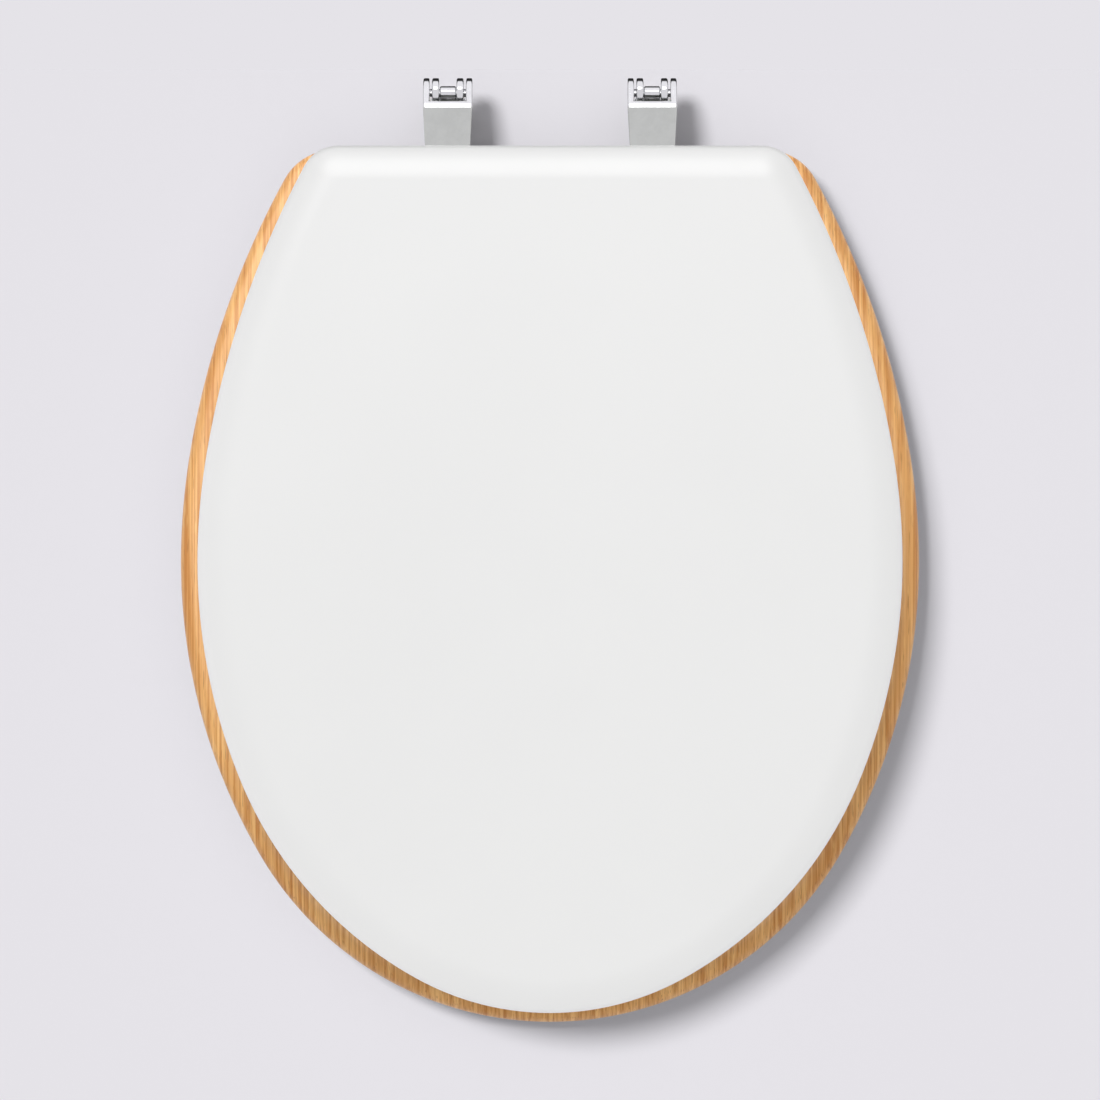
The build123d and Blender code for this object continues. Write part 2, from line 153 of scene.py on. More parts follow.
class ToiletSeatSizes(bpy.types.PropertyGroup):
    """The shapes of the lid and the ring, and the small edges and threads of the fittings"""

    lid_widest: length("Lid Widest Line", "From the lid's rear edge forward to its widest line", 0.2065)
    lid_side: length("Lid Side Radius", "Arc behind the lid's widest line", 0.319)
    lid_side_reach: length("Lid Side Reach", "How far the side arc runs back from the widest line", 0.050)
    lid_flank: length("Lid Flank Radius", "Flatter arc from the side arc to the rear corner", 0.468)
    lid_corner: length("Lid Corner Radius", "Rear corners of the lid", 0.019)
    lid_pillow_width: length("Lid Pillow Width", "Width of the soft round-over of the lid's top", 0.017)
    lid_pillow_radius: length("Lid Pillow Radius", "Radius of the soft round-over of the lid's top", 0.045)
    lid_edge: length("Lid Edge Radius", "Tighter round where the pillow meets the lid's wall", 0.005)
    lid_bottom: length("Lid Bottom Round", "Round at the lid's lower edge", 0.0015)
    ring_widest: length("Ring Widest Line", "From the ring's rear edge forward to its widest line", 0.2065)
    ring_side: length("Ring Side Radius", "Arc behind the ring's widest line", 0.330)
    ring_side_reach: length("Ring Side Reach", "How far the side arc runs back from the widest line", 0.050)
    ring_flank: length("Ring Flank Radius", "Flatter arc from the side arc to the rear corner", 0.430)
    ring_corner: length("Ring Corner Radius", "Rear corners of the ring", 0.028)
    ring_nose_inset: length("Ring Nose Inset", "How much the nose's radius is under half the width", 0.017)
    ring_rear_band: length("Rear Band", "Width of the ring behind its opening", 0.088)
    ring_side_band: length("Side Band", "Width of the ring at each side of its opening", 0.074)
    ring_front_band: length("Front Band", "Width of the ring in front of its opening", 0.074)
    opening_widest: length("Opening Widest Line", "From the opening's rear to its widest line", 0.132)
    ring_round: length("Ring Round", "Round of the ring's outer top edge", 0.009)
    opening_round: length("Opening Round", "Round of the opening's top edge", 0.010)
    ring_bottom: length("Ring Bottom Round", "Round of the ring's lower edges", 0.002)
    casting_edge: length("Casting Edge", "Round on the edges of the chromed castings", 0.0008)
    crest_setback: length("Crest Setback", "From the pin forward to the crest of a lid leaf", 0.0079)
    crest_round: length("Crest Round", "Round across the crest of a lid leaf", 0.012)
    turned_edge: length("Turned Edge", "Round on the edges of pins, nuts and washers", 0.0004)
    moulding_edge: length("Moulding Edge", "Round on the edges of the buffers and soft washers", 0.0006)
    stud_pitch: length("Stud Pitch", "Pitch of the thread on the studs", 0.00125)
    stud_plain: length("Stud Shank", "Plain shank of a stud below the deck's top", 0.0185)
    stud_root: length("Stud Root", "Radius at the root of the stud's thread", 0.0033)
    screw_pitch: length("Screw Pitch", "Pitch of the thread on the wood screws", 0.0016)
    screw_head: length("Screw Head", "Height of a wood screw's countersunk head", 0.0024)
    screw_shank: length("Screw Shank", "Radius of a wood screw over its thread", 0.0019)
    screw_tip: length("Screw Tip", "Length of a wood screw's point", 0.003)
    recess: length("Cross Recess", "Half width of the cross in a wood screw's head", 0.0019)


class ToiletSeatColours(bpy.types.PropertyGroup):
    """The colours of the finishes and of the background"""

    lacquer: colour("Lacquer", "White lacquer of the lid", (0.81, 0.81, 0.805))
    oak_light: colour("Light Oak", "Light streaks of the oak", (0.98, 0.57, 0.215))
    oak_dark: colour("Dark Oak", "Dark streaks of the oak", (0.58, 0.225, 0.047))
    oak_pore: colour("Oak Pores", "Short dark pores of the oak", (0.30, 0.12, 0.026))
    chrome: colour("Chrome", "Plating on the cover of a hinge", (0.67, 0.69, 0.655))
    # Painted reflection: the plating round the pin is coloured brighter than real chrome, standing in for
    # the bright reflections on the knuckles
    knuckle_glare: colour("Polish", "Brighter plating round the pin of a hinge", (0.86, 0.87, 0.87))
    pin: colour("Pin Steel", "Bright drawn steel of the hinge pins", (0.62, 0.62, 0.63))
    zinc: colour("Zinc", "Zinc plating of the studs, washers and nuts", (0.74, 0.76, 0.79))
    screw: colour("Screw Steel", "Bright plating of the wood screws", (0.68, 0.68, 0.68))
    vinyl: colour("Vinyl", "Translucent buffers and pads", (0.76, 0.76, 0.71))
    rubber: colour("Rubber", "Black rubber cones", (0.020, 0.020, 0.021))
    background: colour("Background", "Floor and backdrop", (0.784, 0.768, 0.807))


class ToiletSeatStage(bpy.types.PropertyGroup):
    """The camera and the floor"""

    camera_height: length("Camera Height", "Camera above the deck", 2.4)
    camera_y: FloatProperty(
        name="Camera Position", description="Camera along the seat", default=-0.2225, unit="LENGTH"
    )
    lens: FloatProperty(
        name="Lens", description="Focal length in millimetres", default=155.6, min=1.0, unit="CAMERA"
    )
    floor_reach: length("Floor Reach", "How far the floor goes forward and to each side", 6.0)
    floor_rear: length("Floor Rear", "Where the floor ends behind the hinges", 0.020)


class Reading:
    """A node's output in an expression: each operator adds the Math node that works it out."""

    def __init__(self, recipe, socket):
        self.recipe = recipe
        self.socket = socket

    def combine(self, operation, first, second):
        return self.recipe.node("ShaderNodeMath", {"operation": operation}, {0: first, 1: second})

    def __add__(self, other):
        return self.combine("ADD", self, other)

    def __radd__(self, other):
        return self.combine("ADD", other, self)

    def __sub__(self, other):
        return self.combine("SUBTRACT", self, other)

    def __rsub__(self, other):
        return self.combine("SUBTRACT", other, self)

    def __mul__(self, other):
        return self.combine("MULTIPLY", self, other)

    def __rmul__(self, other):
        return self.combine("MULTIPLY", other, self)


class Recipe:
    """The node tree of a material or a world, and the one way in which a node is added to it."""

    def __init__(self, owner):
        owner.use_nodes = True
        self.tree = owner.node_tree
        self.tree.nodes.clear()

    def node(self, kind, settings=None, sockets=None, output=0):
        """Adds a node: its settings first, then a value or a link for each socket."""
        made = self.tree.nodes.new(kind)
        for name, value in (settings or {}).items():
            setattr(made, name, value)
        for name, value in (sockets or {}).items():
            if isinstance(value, Reading):
                self.tree.links.new(value.socket, made.inputs[name])
            else:
                made.inputs[name].default_value = value
        return None if output is None else Reading(self, made.outputs[output])

    def place(self, stretch=(1, 1, 1)):
        """Object coordinates, stretched along each axis."""
        here = self.node("ShaderNodeTexCoord", output="Object")
        return self.node("ShaderNodeMapping", sockets={"Vector": here, "Scale": stretch})

    def noise(self, place, scale, detail=2.0, roughness=0.5, distortion=0.0):
        """Smooth noise from 0 to 1."""
        sockets = {
            "Vector": place,
            "Scale": scale,
            "Detail": detail,
            "Roughness": roughness,
            "Distortion": distortion,
        }
        return self.node("ShaderNodeTexNoise", sockets=sockets)

    def band(self, value, low, high):
        """Carries a value smoothly from 0 at low to 1 at high, and holds it past both."""
        sockets = {"Value": value, "From Min": low, "From Max": high}
        return self.node("ShaderNodeMapRange", {"interpolation_type": "SMOOTHSTEP"}, sockets)

    def mix(self, factor, first, second):
        """Mixes two colours; a Mix node has sockets of the same name for each type, so they go by number."""
        opaque = [value if isinstance(value, Reading) else (*value, 1.0) for value in (first, second)]
        sockets = {0: factor, 6: opaque[0], 7: opaque[1]}
        return self.node("ShaderNodeMix", {"data_type": "RGBA"}, sockets, output=2)

    def bump(self, height, strength, distance):
        """A normal that stands up with the height."""
        sockets = {"Height": height, "Strength": strength, "Distance": distance}
        return self.node("ShaderNodeBump", sockets=sockets)

    def surface(self, **sockets):
        """Closes a material with one Principled shader; an underscore in a name stands for a space."""
        named = {name.replace("_", " "): value for name, value in sockets.items()}
        shader = self.node("ShaderNodeBsdfPrincipled", sockets=named)
        self.node("ShaderNodeOutputMaterial", sockets={"Surface": shader}, output=None)


def scaled(tone, share):
    """A colour times a share, and no brighter than white."""
    return tuple(min(1.0, share * channel) for channel in tone)


def white_lacquer(recipe, colours):
    """Sprayed white lacquer: even, with a faint orange peel and a soft gloss."""
    place = recipe.place()
    drift = recipe.noise(place, scale=9.0, detail=3.0)
    patch = recipe.noise(place, scale=36.0, detail=3.0)
    peel = recipe.noise(place, scale=420.0, detail=1.0)
    fine = recipe.noise(place, scale=1900.0, detail=1.0)
    white = tuple(colours.lacquer)
    recipe.surface(
        Base_Color=recipe.mix(recipe.band(drift, 0.3, 0.7), scaled(white, 0.985), white),
        Roughness=0.34 + 0.08 * patch,
        Normal=recipe.bump(peel + 0.35 * fine, strength=0.035, distance=0.0003),
        Coat_Weight=0.35,
        Coat_Roughness=0.22,
    )


def oak(recipe, colours):
    """Varnished oak, with its grain along the seat: broad drifts, streaks, fine lines, pores and flecks."""

    def grain(stretch, low, high, **noise):
        return recipe.band(recipe.noise(recipe.place(stretch), scale=1.0, **noise), low, high)

    drift = grain((41, 1.6, 10), 0.34, 0.66)
    streak = grain((560, 5.0, 60), 0.38, 0.62, distortion=0.3)
    line = grain((820, 7.0, 100), 0.40, 0.60)
    pore = grain((2100, 75, 500), 0.62, 0.74, detail=1.0)
    fleck = grain((420, 60, 120), 0.62, 0.75, detail=1.0)
    figure = 0.18 * drift + 0.42 * streak + 0.40 * line
    light = tuple(colours.oak_light)
    wood = recipe.mix(figure, tuple(colours.oak_dark), light)
    flecked = recipe.mix(0.30 * fleck, wood, scaled(light, 1.12))
    recipe.surface(
        Base_Color=recipe.mix(0.50 * pore, flecked, tuple(colours.oak_pore)),
        Roughness=0.40 + 0.14 * pore - 0.06 * streak,
        Normal=recipe.bump(0.5 * line - pore, strength=0.22, distance=0.00025),
        Specular_IOR_Level=0.15,
        Coat_Weight=0.25,
        Coat_Roughness=0.30,
    )


def chrome(recipe, colours):
    """Plating over a casting: cloudy, slightly wavy, and with a painted reflection that makes it brighter
    round the pin than on the cover.
    """
    place = recipe.place()
    run = recipe.node("ShaderNodeSeparateXYZ", sockets={"Vector": place}, output="Y")
    # Painted reflection: towards the pin the plating takes the brighter colour, so the knuckles look
    # brightly lit
    glare_zone = recipe.band(run, PIN_Y - GLARE_REACH, PIN_Y - GLARE_REACH + GLARE_FADE)
    cloud = recipe.noise(place, scale=130.0, detail=4.0, roughness=0.6)
    speck = recipe.noise(place, scale=1500.0)
    wave = recipe.noise(place, scale=240.0)
    clouded = recipe.band(cloud, 0.32, 0.68)
    tones = [tuple(colours.chrome), tuple(colours.knuckle_glare)]
    cover, lit_knuckle = [recipe.mix(clouded, scaled(tone, 0.94), tone) for tone in tones]
    recipe.surface(
        Base_Color=recipe.mix(glare_zone, cover, lit_knuckle),
        Metallic=1.0,
        Roughness=0.06 + 0.06 * cloud + 0.03 * speck,
        Normal=recipe.bump(wave, strength=0.03, distance=0.0004),
    )


def drawn_steel(recipe, tone):
    """Bright steel drawn along the pin, with fine lines across the hinge."""
    drawn = recipe.noise(recipe.place((60, 4200, 4200)), scale=1.0)
    recipe.surface(
        Base_Color=recipe.mix(recipe.band(drawn, 0.3, 0.7), scaled(tone, 0.82), tone),
        Metallic=1.0,
        Roughness=0.20 + 0.14 * drawn,
        Normal=recipe.bump(drawn, strength=0.05, distance=0.0001),
    )


def plated_steel(recipe, tone, gloss):
    """Zinc-plated steel: a patchy, slightly tinted bloom over a bright ground."""
    place = recipe.place()
    bloom = recipe.noise(place, scale=260.0, detail=4.0, roughness=0.65)
    speck = recipe.noise(place, scale=2600.0)
    tint = (0.97 * tone[0], 0.95 * tone[1], 0.86 * tone[2])
    recipe.surface(
        Base_Color=recipe.mix(recipe.band(bloom, 0.35, 0.7), tone, tint),
        Metallic=1.0,
        Roughness=gloss + 0.16 * bloom + 0.06 * speck,
        Normal=recipe.bump(bloom + 0.4 * speck, strength=0.06, distance=0.0002),
    )


def soft_vinyl(recipe, colours):
    """Milky moulded vinyl, a little uneven."""
    place = recipe.place()
    milk = recipe.noise(place, scale=160.0, detail=3.0)
    skin = recipe.noise(place, scale=1300.0)
    tone = tuple(colours.vinyl)
    recipe.surface(
        Base_Color=recipe.mix(recipe.band(milk, 0.3, 0.7), scaled(tone, 0.90), tone),
        Roughness=0.30 + 0.14 * milk,
        Normal=recipe.bump(skin, strength=0.06, distance=0.0002),
        Subsurface_Weight=0.25,
        Subsurface_Scale=0.003,
    )


def black_rubber(recipe, colours):
    """Moulded rubber with a dusty grey bloom."""
    place = recipe.place()
    dust = recipe.noise(place, scale=210.0, detail=4.0, roughness=0.6)
    skin = recipe.noise(place, scale=1700.0)
    tone = tuple(colours.rubber)
    recipe.surface(
        Base_Color=recipe.mix(recipe.band(dust, 0.45, 0.8), tone, scaled(tone, 2.2)),
        Roughness=0.55 + 0.25 * dust,
        Normal=recipe.bump(skin, strength=0.10, distance=0.0002),
    )


FINISHES = {
    "white_lacquer": white_lacquer,
    "oak": oak,
    "chrome": chrome,
    "pin_steel": lambda recipe, colours: drawn_steel(recipe, tuple(colours.pin)),
    "zinc_steel": lambda recipe, colours: plated_steel(recipe, tuple(colours.zinc), gloss=0.30),
    "screw_steel": lambda recipe, colours: plated_steel(recipe, tuple(colours.screw), gloss=0.20),
    "clear_buffer": soft_vinyl,
    "rubber": black_rubber,
}


def finish_of(slot):
    """The material of one of the record's slots, made the first time it is asked for."""
    name = f"{slot}_finish"
    made = bpy.data.materials.get(name)
    if made is None:
        made = bpy.data.materials.new(name)
        FINISHES[slot](Recipe(made), bpy.context.scene.toilet_seat_colours)
    return made


def settle(mesh, name, node):
    """Makes a mesh an object that stands for a CAD node, on its body, in its slot and with its finish."""
    data = bpy.data.meshes.new(name)
    mesh.to_mesh(data)
    mesh.free()
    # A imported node's facets bring normals of their own, which would show through the rounds
    if "custom_normal" in data.attributes:
        data.attributes.remove(data.attributes["custom_normal"])
    for polygon in data.polygons:
        polygon.use_smooth = True
    data.materials.clear()
    data.materials.append(finish_of(SLOT_OF[node]))
    piece = bpy.data.objects.new(name, data)
    bpy.context.scene.collection.objects.link(piece)
    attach(piece, BODY_OF[node])
    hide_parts(node)
    return piece


def even_shading(piece):
    """Keeps flat faces flat beside the rounds that lead into them."""
    weighted = piece.modifiers.new("even_shading", "WEIGHTED_NORMAL")
    weighted.mode = "FACE_AREA"
    weighted.weight = EVEN_WEIGHT
    weighted.keep_sharp = False


def edge_chains(edges):
    """Parts a set of edges into runs that pass from edge to edge without a branch."""
    left = set(edges)
    while left:
        chain = [left.pop()]
        for edge in chain:
            for vertex in edge.verts:
                meeting = [other for other in vertex.link_edges if other in edges]
                if len(meeting) == 2:
                    chain += [other for other in meeting if other in left]
                    left.difference_update(meeting)
        yield chain


def room_beside(edge, sharp):
    """How wide an edge can be rounded before the round meets the next edge or the next edge's own round."""
    room = math.inf
    run = edge.verts[1].co - edge.verts[0].co
    for vertex in edge.verts:
        for other in vertex.link_edges:
            if other in sharp:
                continue
            far = other.other_vert(vertex)
            across = (far.co - vertex.co).cross(run).length / run.length
            shared = any(beyond in sharp for beyond in far.link_edges)
            room = min(room, across * (SHARED_ROOM if shared else WHOLE_ROOM))
    return room


def weigh_edges(mesh, width):
    """Marks each sharp edge for a round of this width, or for a narrower one where there is less room."""
    weight = mesh.edges.layers.float.new("bevel_weight_edge")
    sharp = {edge for edge in mesh.edges if edge.calc_face_angle_signed(0) > EDGE_ANGLE}
    for chain in edge_chains(sharp):
        places = [vertex.co for edge in chain for vertex in edge.verts]
        span = max(max(co[axis] for co in places) - min(co[axis] for co in places) for axis in range(3))
        room = min(SPAN_ROOM * span, *(room_beside(edge, sharp) for edge in chain))
        for edge in chain:
            edge[weight] = min(1.0, room / width)


def soften(piece, width):
    """Rounds the marked edges of a piece."""
    rounded = piece.modifiers.new("soft_edges", "BEVEL")
    rounded.width = width
    rounded.segments = SMALL_ROUND_STEPS
    rounded.profile = 0.5
    rounded.limit_method = "WEIGHT"
    rounded.loop_slide = False
    rounded.use_clamp_overlap = False
    even_shading(piece)


def merged_copy(node):
    """A copy of a CAD node's mesh with its loose triangles joined."""
    mesh = bmesh.new()
    mesh.from_mesh(frame["nodes"][node].data)
    bmesh.ops.remove_doubles(mesh, verts=mesh.verts, dist=MERGE)
    return mesh


def flat_copy(node):
    """A merged copy whose flat faces are whole."""
    mesh = merged_copy(node)
    bmesh.ops.remove_doubles(mesh, verts=mesh.verts, dist=SLIVER)
    bmesh.ops.dissolve_limit(mesh, angle_limit=FLAT_ANGLE, verts=mesh.verts, edges=mesh.edges)
    return mesh


def dress(mesh, node, width):
    """Makes a mesh a CAD node's piece with softened edges."""
    weigh_edges(mesh, width)
    soften(settle(mesh, f"{node}_dressed", node), width)


def solid_boxes(node):
    """The lowest and highest corner of each separate solid in a CAD node."""
    mesh = merged_copy(node)
    seen = set()
    boxes = []
    for start in mesh.verts:
        if start in seen:
            continue
        seen.add(start)
        island = [start]
        for vertex in island:
            for edge in vertex.link_edges:
                other = edge.other_vert(vertex)
                if other not in seen:
                    seen.add(other)
                    island.append(other)
        low = Vector([min(vertex.co[axis] for vertex in island) for axis in range(3)])
        high = Vector([max(vertex.co[axis] for vertex in island) for axis in range(3)])
        boxes.append((low, high))
    mesh.free()
    return boxes


def rear_centres(half, rear, widest, side_radius, side_reach, flank_radius, corner_radius):
    """The centres of a rear corner, the flank that it runs into, and the side arc at the widest line."""
    side = Vector((half - side_radius, rear - widest))
    heading = Vector((math.sqrt(side_radius**2 - side_reach**2), side_reach)) / side_radius
    flank = side + heading * (side_radius - flank_radius)
    reach = flank_radius - corner_radius
    rise = rear - corner_radius - flank.y
    corner = Vector((flank.x + math.sqrt(reach**2 - rise**2), rear - corner_radius))
    return [corner, flank, side]


def nose_centres(half, widest_y, depth, inset):
    """The centres of a blunt front: a long side arc and a nose a little narrower than the widest line."""
    nose_radius = half - inset
    side_radius = depth + (depth - half) ** 2 / (2 * inset)
    return [Vector((half - side_radius, widest_y)), Vector((0, widest_y - depth + nose_radius))]


def oval_centres(half, widest_y, depth):
    """The centres of the three arcs of a quarter oval, from its widest line to its tip."""
    side_radius = depth**2 / half
    nose_radius = half**2 / depth
    shoulder_radius = math.sqrt(half * depth)
    side = Vector((half - side_radius, widest_y))
    nose = Vector((0, widest_y + nose_radius - depth))
    gap = (nose - side).length
    heading = (nose - side) / gap
    reach = side_radius - shoulder_radius
    along = (reach**2 - (shoulder_radius - nose_radius) ** 2 + gap**2) / (2 * gap)
    across = math.sqrt(reach**2 - along**2)
    shoulder = side + heading * along + Vector((-heading.y, heading.x)) * across
    return [side, shoulder, nose]


def arc_turns(point, centres):
    """Each arc's centre, clockwise turn and length; arcs meet on the line through their centres."""
    turns = []
    for index, centre in enumerate(centres):
        spoke = point - centre
        bearing = math.atan2(spoke.y, spoke.x)
        if index + 1 < len(centres):
            line = centres[index + 1] - centre
            turn = (bearing - math.atan2(line.y, line.x)) % math.pi
        else:
            turn = bearing + math.pi / 2
        turns.append((centre, turn, turn * spoke.length))
        spoke.rotate(Matrix.Rotation(-turn, 2))
        point = centre + spoke
    return turns


def trace_half(mesh, rear, height, centres):
    """Draws the right half of an outline: straight from its middle at the rear, then round each centre."""
    start = Vector((centres[0].x, rear))
    turns = arc_turns(start, centres)
    weights = [run + turn * TURN_WEIGHT for _, turn, run in turns]
    total = start.x + sum(weights)
    vertex = mesh.verts.new((0, rear, height))
    done = round(HALF_OUTLINE_STEPS * start.x / total)
    for _ in range(done):
        vertex = bmesh.ops.extrude_vert_indiv(mesh, verts=[vertex])["verts"][0]
        bmesh.ops.translate(mesh, verts=[vertex], vec=(start.x / done, 0, 0))
    travelled = start.x
    for (centre, turn, _), weight in zip(turns, weights):
        travelled += weight
        steps = round(HALF_OUTLINE_STEPS * travelled / total) - done
        done += steps
        swept = bmesh.ops.spin(
            mesh, geom=[vertex], cent=(*centre, height), axis=(0, 0, -1), angle=turn, steps=steps
        )
        vertex = next(item for item in swept["geom_last"] if isinstance(item, bmesh.types.BMVert))


def close_halves(mesh):
    """Mirrors the right half and joins the two."""
    whole = mesh.verts[:] + mesh.edges[:]
    bmesh.ops.mirror(mesh, geom=whole, matrix=Matrix.Identity(4), merge_dist=MERGE, axis="X")
    bmesh.ops.remove_doubles(mesh, verts=mesh.verts, dist=MERGE)


def raise_slab(mesh, thickness):
    """Draws the flat faces of a mesh up into a slab."""
    raised = bmesh.ops.extrude_face_region(mesh, geom=mesh.faces[:])
    top = [item for item in raised["geom"] if isinstance(item, bmesh.types.BMVert)]
    bmesh.ops.translate(mesh, verts=top, vec=(0, 0, thickness))
    bmesh.ops.recalc_face_normals(mesh, faces=mesh.faces)


def rim_edges(mesh, height, outer=True):
    """The edges round a slab at a height, round its outside or round its opening."""
    middle = Vector((0, (RING_LOW.y + RING_HIGH.y) / 2, 0))
    found = []
    for edge in mesh.edges:
        if any(abs(vertex.co.z - height) > MERGE for vertex in edge.verts):
            continue
        walls = [face for face in edge.link_faces if abs(face.normal.z) < WALL_RISE]
        if len(walls) != 1:
            continue
        outwards = walls[0].normal.dot(edge.verts[0].co - middle) > 0
        if outwards == outer:
            found.append(edge)
    return found


def round_rim(mesh, height, radius, steps, outer=True):
    """Rounds the rim of a slab at a height."""
    bmesh.ops.bevel(
        mesh,
        geom=rim_edges(mesh, height, outer),
        offset=radius,
        offset_type="OFFSET",
        affect="EDGES",
        segments=steps,
        profile=0.5,
        material=-1,
        loop_slide=True,
    )


def pillow_profile(width, pillow_radius, edge_radius):
    """Points in from the lid's wall and up from it: a tight edge round that runs into a wide pillow."""
    slope = math.asin((width - edge_radius) / (pillow_radius - edge_radius))
    points = []
    for step in range(ROUND_STEPS + 1):
        angle = step / ROUND_STEPS * (math.pi / 2 - slope)
        points.append((edge_radius * (1 - math.cos(angle)), edge_radius * math.sin(angle)))
    shoulder_rise = points[-1][1]
    for step in range(1, ROUND_STEPS + 1):
        angle = slope * (1 - step / ROUND_STEPS)
        fall = pillow_radius * (math.cos(angle) - math.cos(slope))
        points.append((width - pillow_radius * math.sin(angle), shoulder_rise + fall))
    return points


class TOILETSEAT_OT_lid(bpy.types.Operator):
    """Model the white lid with its wide soft round-over"""

    bl_idname = "toilet_seat.lid"
    bl_label = "Lid"

    def execute(self, context):
        sizes = context.scene.toilet_seat_sizes
        half = (LID_HIGH.x - LID_LOW.x) / 2
        widest_y = LID_HIGH.y - sizes.lid_widest
        arcs = (sizes.lid_side, sizes.lid_side_reach, sizes.lid_flank, sizes.lid_corner)
        rear = rear_centres(half, LID_HIGH.y, sizes.lid_widest, *arcs)
        front = oval_centres(half, widest_y, widest_y - LID_LOW.y)
        profile = pillow_profile(sizes.lid_pillow_width, sizes.lid_pillow_radius, sizes.lid_edge)
        mesh = bmesh.new()
        trace_half(mesh, LID_HIGH.y, LID_LOW.z, rear + front)
        close_halves(mesh)
        bmesh.ops.edgeloop_fill(mesh, edges=mesh.edges)
        raise_slab(mesh, LID_HIGH.z - LID_LOW.z - profile[-1][1])
        round_rim(mesh, LID_LOW.z, sizes.lid_bottom, SMALL_ROUND_STEPS)
        top = max(mesh.faces, key=lambda face: face.calc_center_median().z)
        for before, after in zip(profile, profile[1:]):
            bmesh.ops.inset_region(
                mesh,
                faces=[top],
                thickness=after[0] - before[0],
                depth=after[1] - before[1],
                use_boundary=True,
                use_even_offset=True,
            )
        even_shading(settle(mesh, "lid_lacquered", "lid_panel"))
        return {"FINISHED"}


class TOILETSEAT_OT_ring(bpy.types.Operator):
    """Model the oak ring with its opening and rounded edges"""

    bl_idname = "toilet_seat.ring"
    bl_label = "Oak Ring"

    def execute(self, context):
        sizes = context.scene.toilet_seat_sizes
        half = (RING_HIGH.x - RING_LOW.x) / 2
        widest_y = RING_HIGH.y - sizes.ring_widest
        arcs = (sizes.ring_side, sizes.ring_side_reach, sizes.ring_flank, sizes.ring_corner)
        rear = rear_centres(half, RING_HIGH.y, sizes.ring_widest, *arcs)
        front = nose_centres(half, widest_y, widest_y - RING_LOW.y, sizes.ring_nose_inset)
        opening_half = half - sizes.ring_side_band
        opening_rear = RING_HIGH.y - sizes.ring_rear_band
        opening_y = opening_rear - sizes.opening_widest
        opening_depth = opening_y - RING_LOW.y - sizes.ring_front_band
        opening_front = oval_centres(opening_half, opening_y, opening_depth)
        behind = oval_centres(opening_half, 0, sizes.opening_widest)
        opening_back = [Vector((centre.x, opening_y - centre.y)) for centre in reversed(behind)]
        mesh = bmesh.new()
        trace_half(mesh, RING_HIGH.y, RING_LOW.z, rear + front)
        trace_half(mesh, opening_rear, RING_LOW.z, opening_back + opening_front)
        close_halves(mesh)
        bmesh.ops.bridge_loops(mesh, edges=mesh.edges)
        raise_slab(mesh, RING_HIGH.z - RING_LOW.z)
        round_rim(mesh, RING_HIGH.z, sizes.ring_round, ROUND_STEPS)
        round_rim(mesh, RING_HIGH.z, sizes.opening_round, ROUND_STEPS, outer=False)
        round_rim(mesh, RING_LOW.z, sizes.ring_bottom, SMALL_ROUND_STEPS)
        round_rim(mesh, RING_LOW.z, sizes.ring_bottom, SMALL_ROUND_STEPS, outer=False)
        even_shading(settle(mesh, "ring_oak", "seat_ring"))
        return {"FINISHED"}


class TOILETSEAT_OT_castings(bpy.types.Operator):
    """Dress the chromed leaves of the lid and the seat, and the posts between them"""

    bl_idname = "toilet_seat.castings"
    bl_label = "Hinge Castings"

    def execute(self, context):
        sizes = context.scene.toilet_seat_sizes
        for node in CASTINGS:
            mesh = flat_copy(node)
            if node.startswith("lid_leaf"):
                self.round_crest(mesh, node, sizes)
            dress(mesh, node, sizes.casting_edge)
        return {"FINISHED"}

    def round_crest(self, mesh, node, sizes):
        """Widens the round on a lid leaf about the line where its top and its slope would meet."""
        low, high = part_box(node)
        growth = sizes.crest_round / CAD_CREST_ROUND
        for side in (low.x, high.x):
            crest = Vector((side, PIN_Y - sizes.crest_setback, high.z))
            near = [vertex for vertex in mesh.verts if (vertex.co - crest).length < CAD_CREST_ROUND / 2]
            bmesh.ops.scale(mesh, verts=near, vec=[growth] * 3, space=Matrix.Translation(-crest))


class TOILETSEAT_OT_turned_fixings(bpy.types.Operator):
    """Dress the hinge pins, and the washers and wing nuts under the deck"""

    bl_idname = "toilet_seat.turned_fixings"
    bl_label = "Pins, Washers and Nuts"

    def execute(self, context):
        sizes = context.scene.toilet_seat_sizes
        for node in ("hinge_pins", "flat_washers", "wing_nuts"):
            dress(flat_copy(node), node, sizes.turned_edge)
        return {"FINISHED"}


class TOILETSEAT_OT_mouldings(bpy.types.Operator):
    """Dress the buffers, the pads on the deck and the rubber cones below it"""

    bl_idname = "toilet_seat.mouldings"
    bl_label = "Buffers, Pads and Cones"

    def execute(self, context):
        sizes = context.scene.toilet_seat_sizes
        for node in ("seat_buffers", "lid_buffers", "deck_pads", "cone_washers"):
            dress(flat_copy(node), node, sizes.moulding_edge)
        return {"FINISHED"}


def lathe(points):
    """Turns a line of points, each a radius and a height, round the Z axis."""
    mesh = bmesh.new()
    line = [mesh.verts.new((radius, 0, height)) for radius, height in points]
    edges = [mesh.edges.new(pair) for pair in zip(line, line[1:])]
    bmesh.ops.spin(
        mesh,
        geom=line + edges,
        cent=(0, 0, 0),
        axis=(0, 0, 1),
        angle=math.tau,
        steps=LATHE_STEPS,
        use_merge=True,
    )
    bmesh.ops.remove_doubles(mesh, verts=mesh.verts, dist=MERGE)
    return mesh


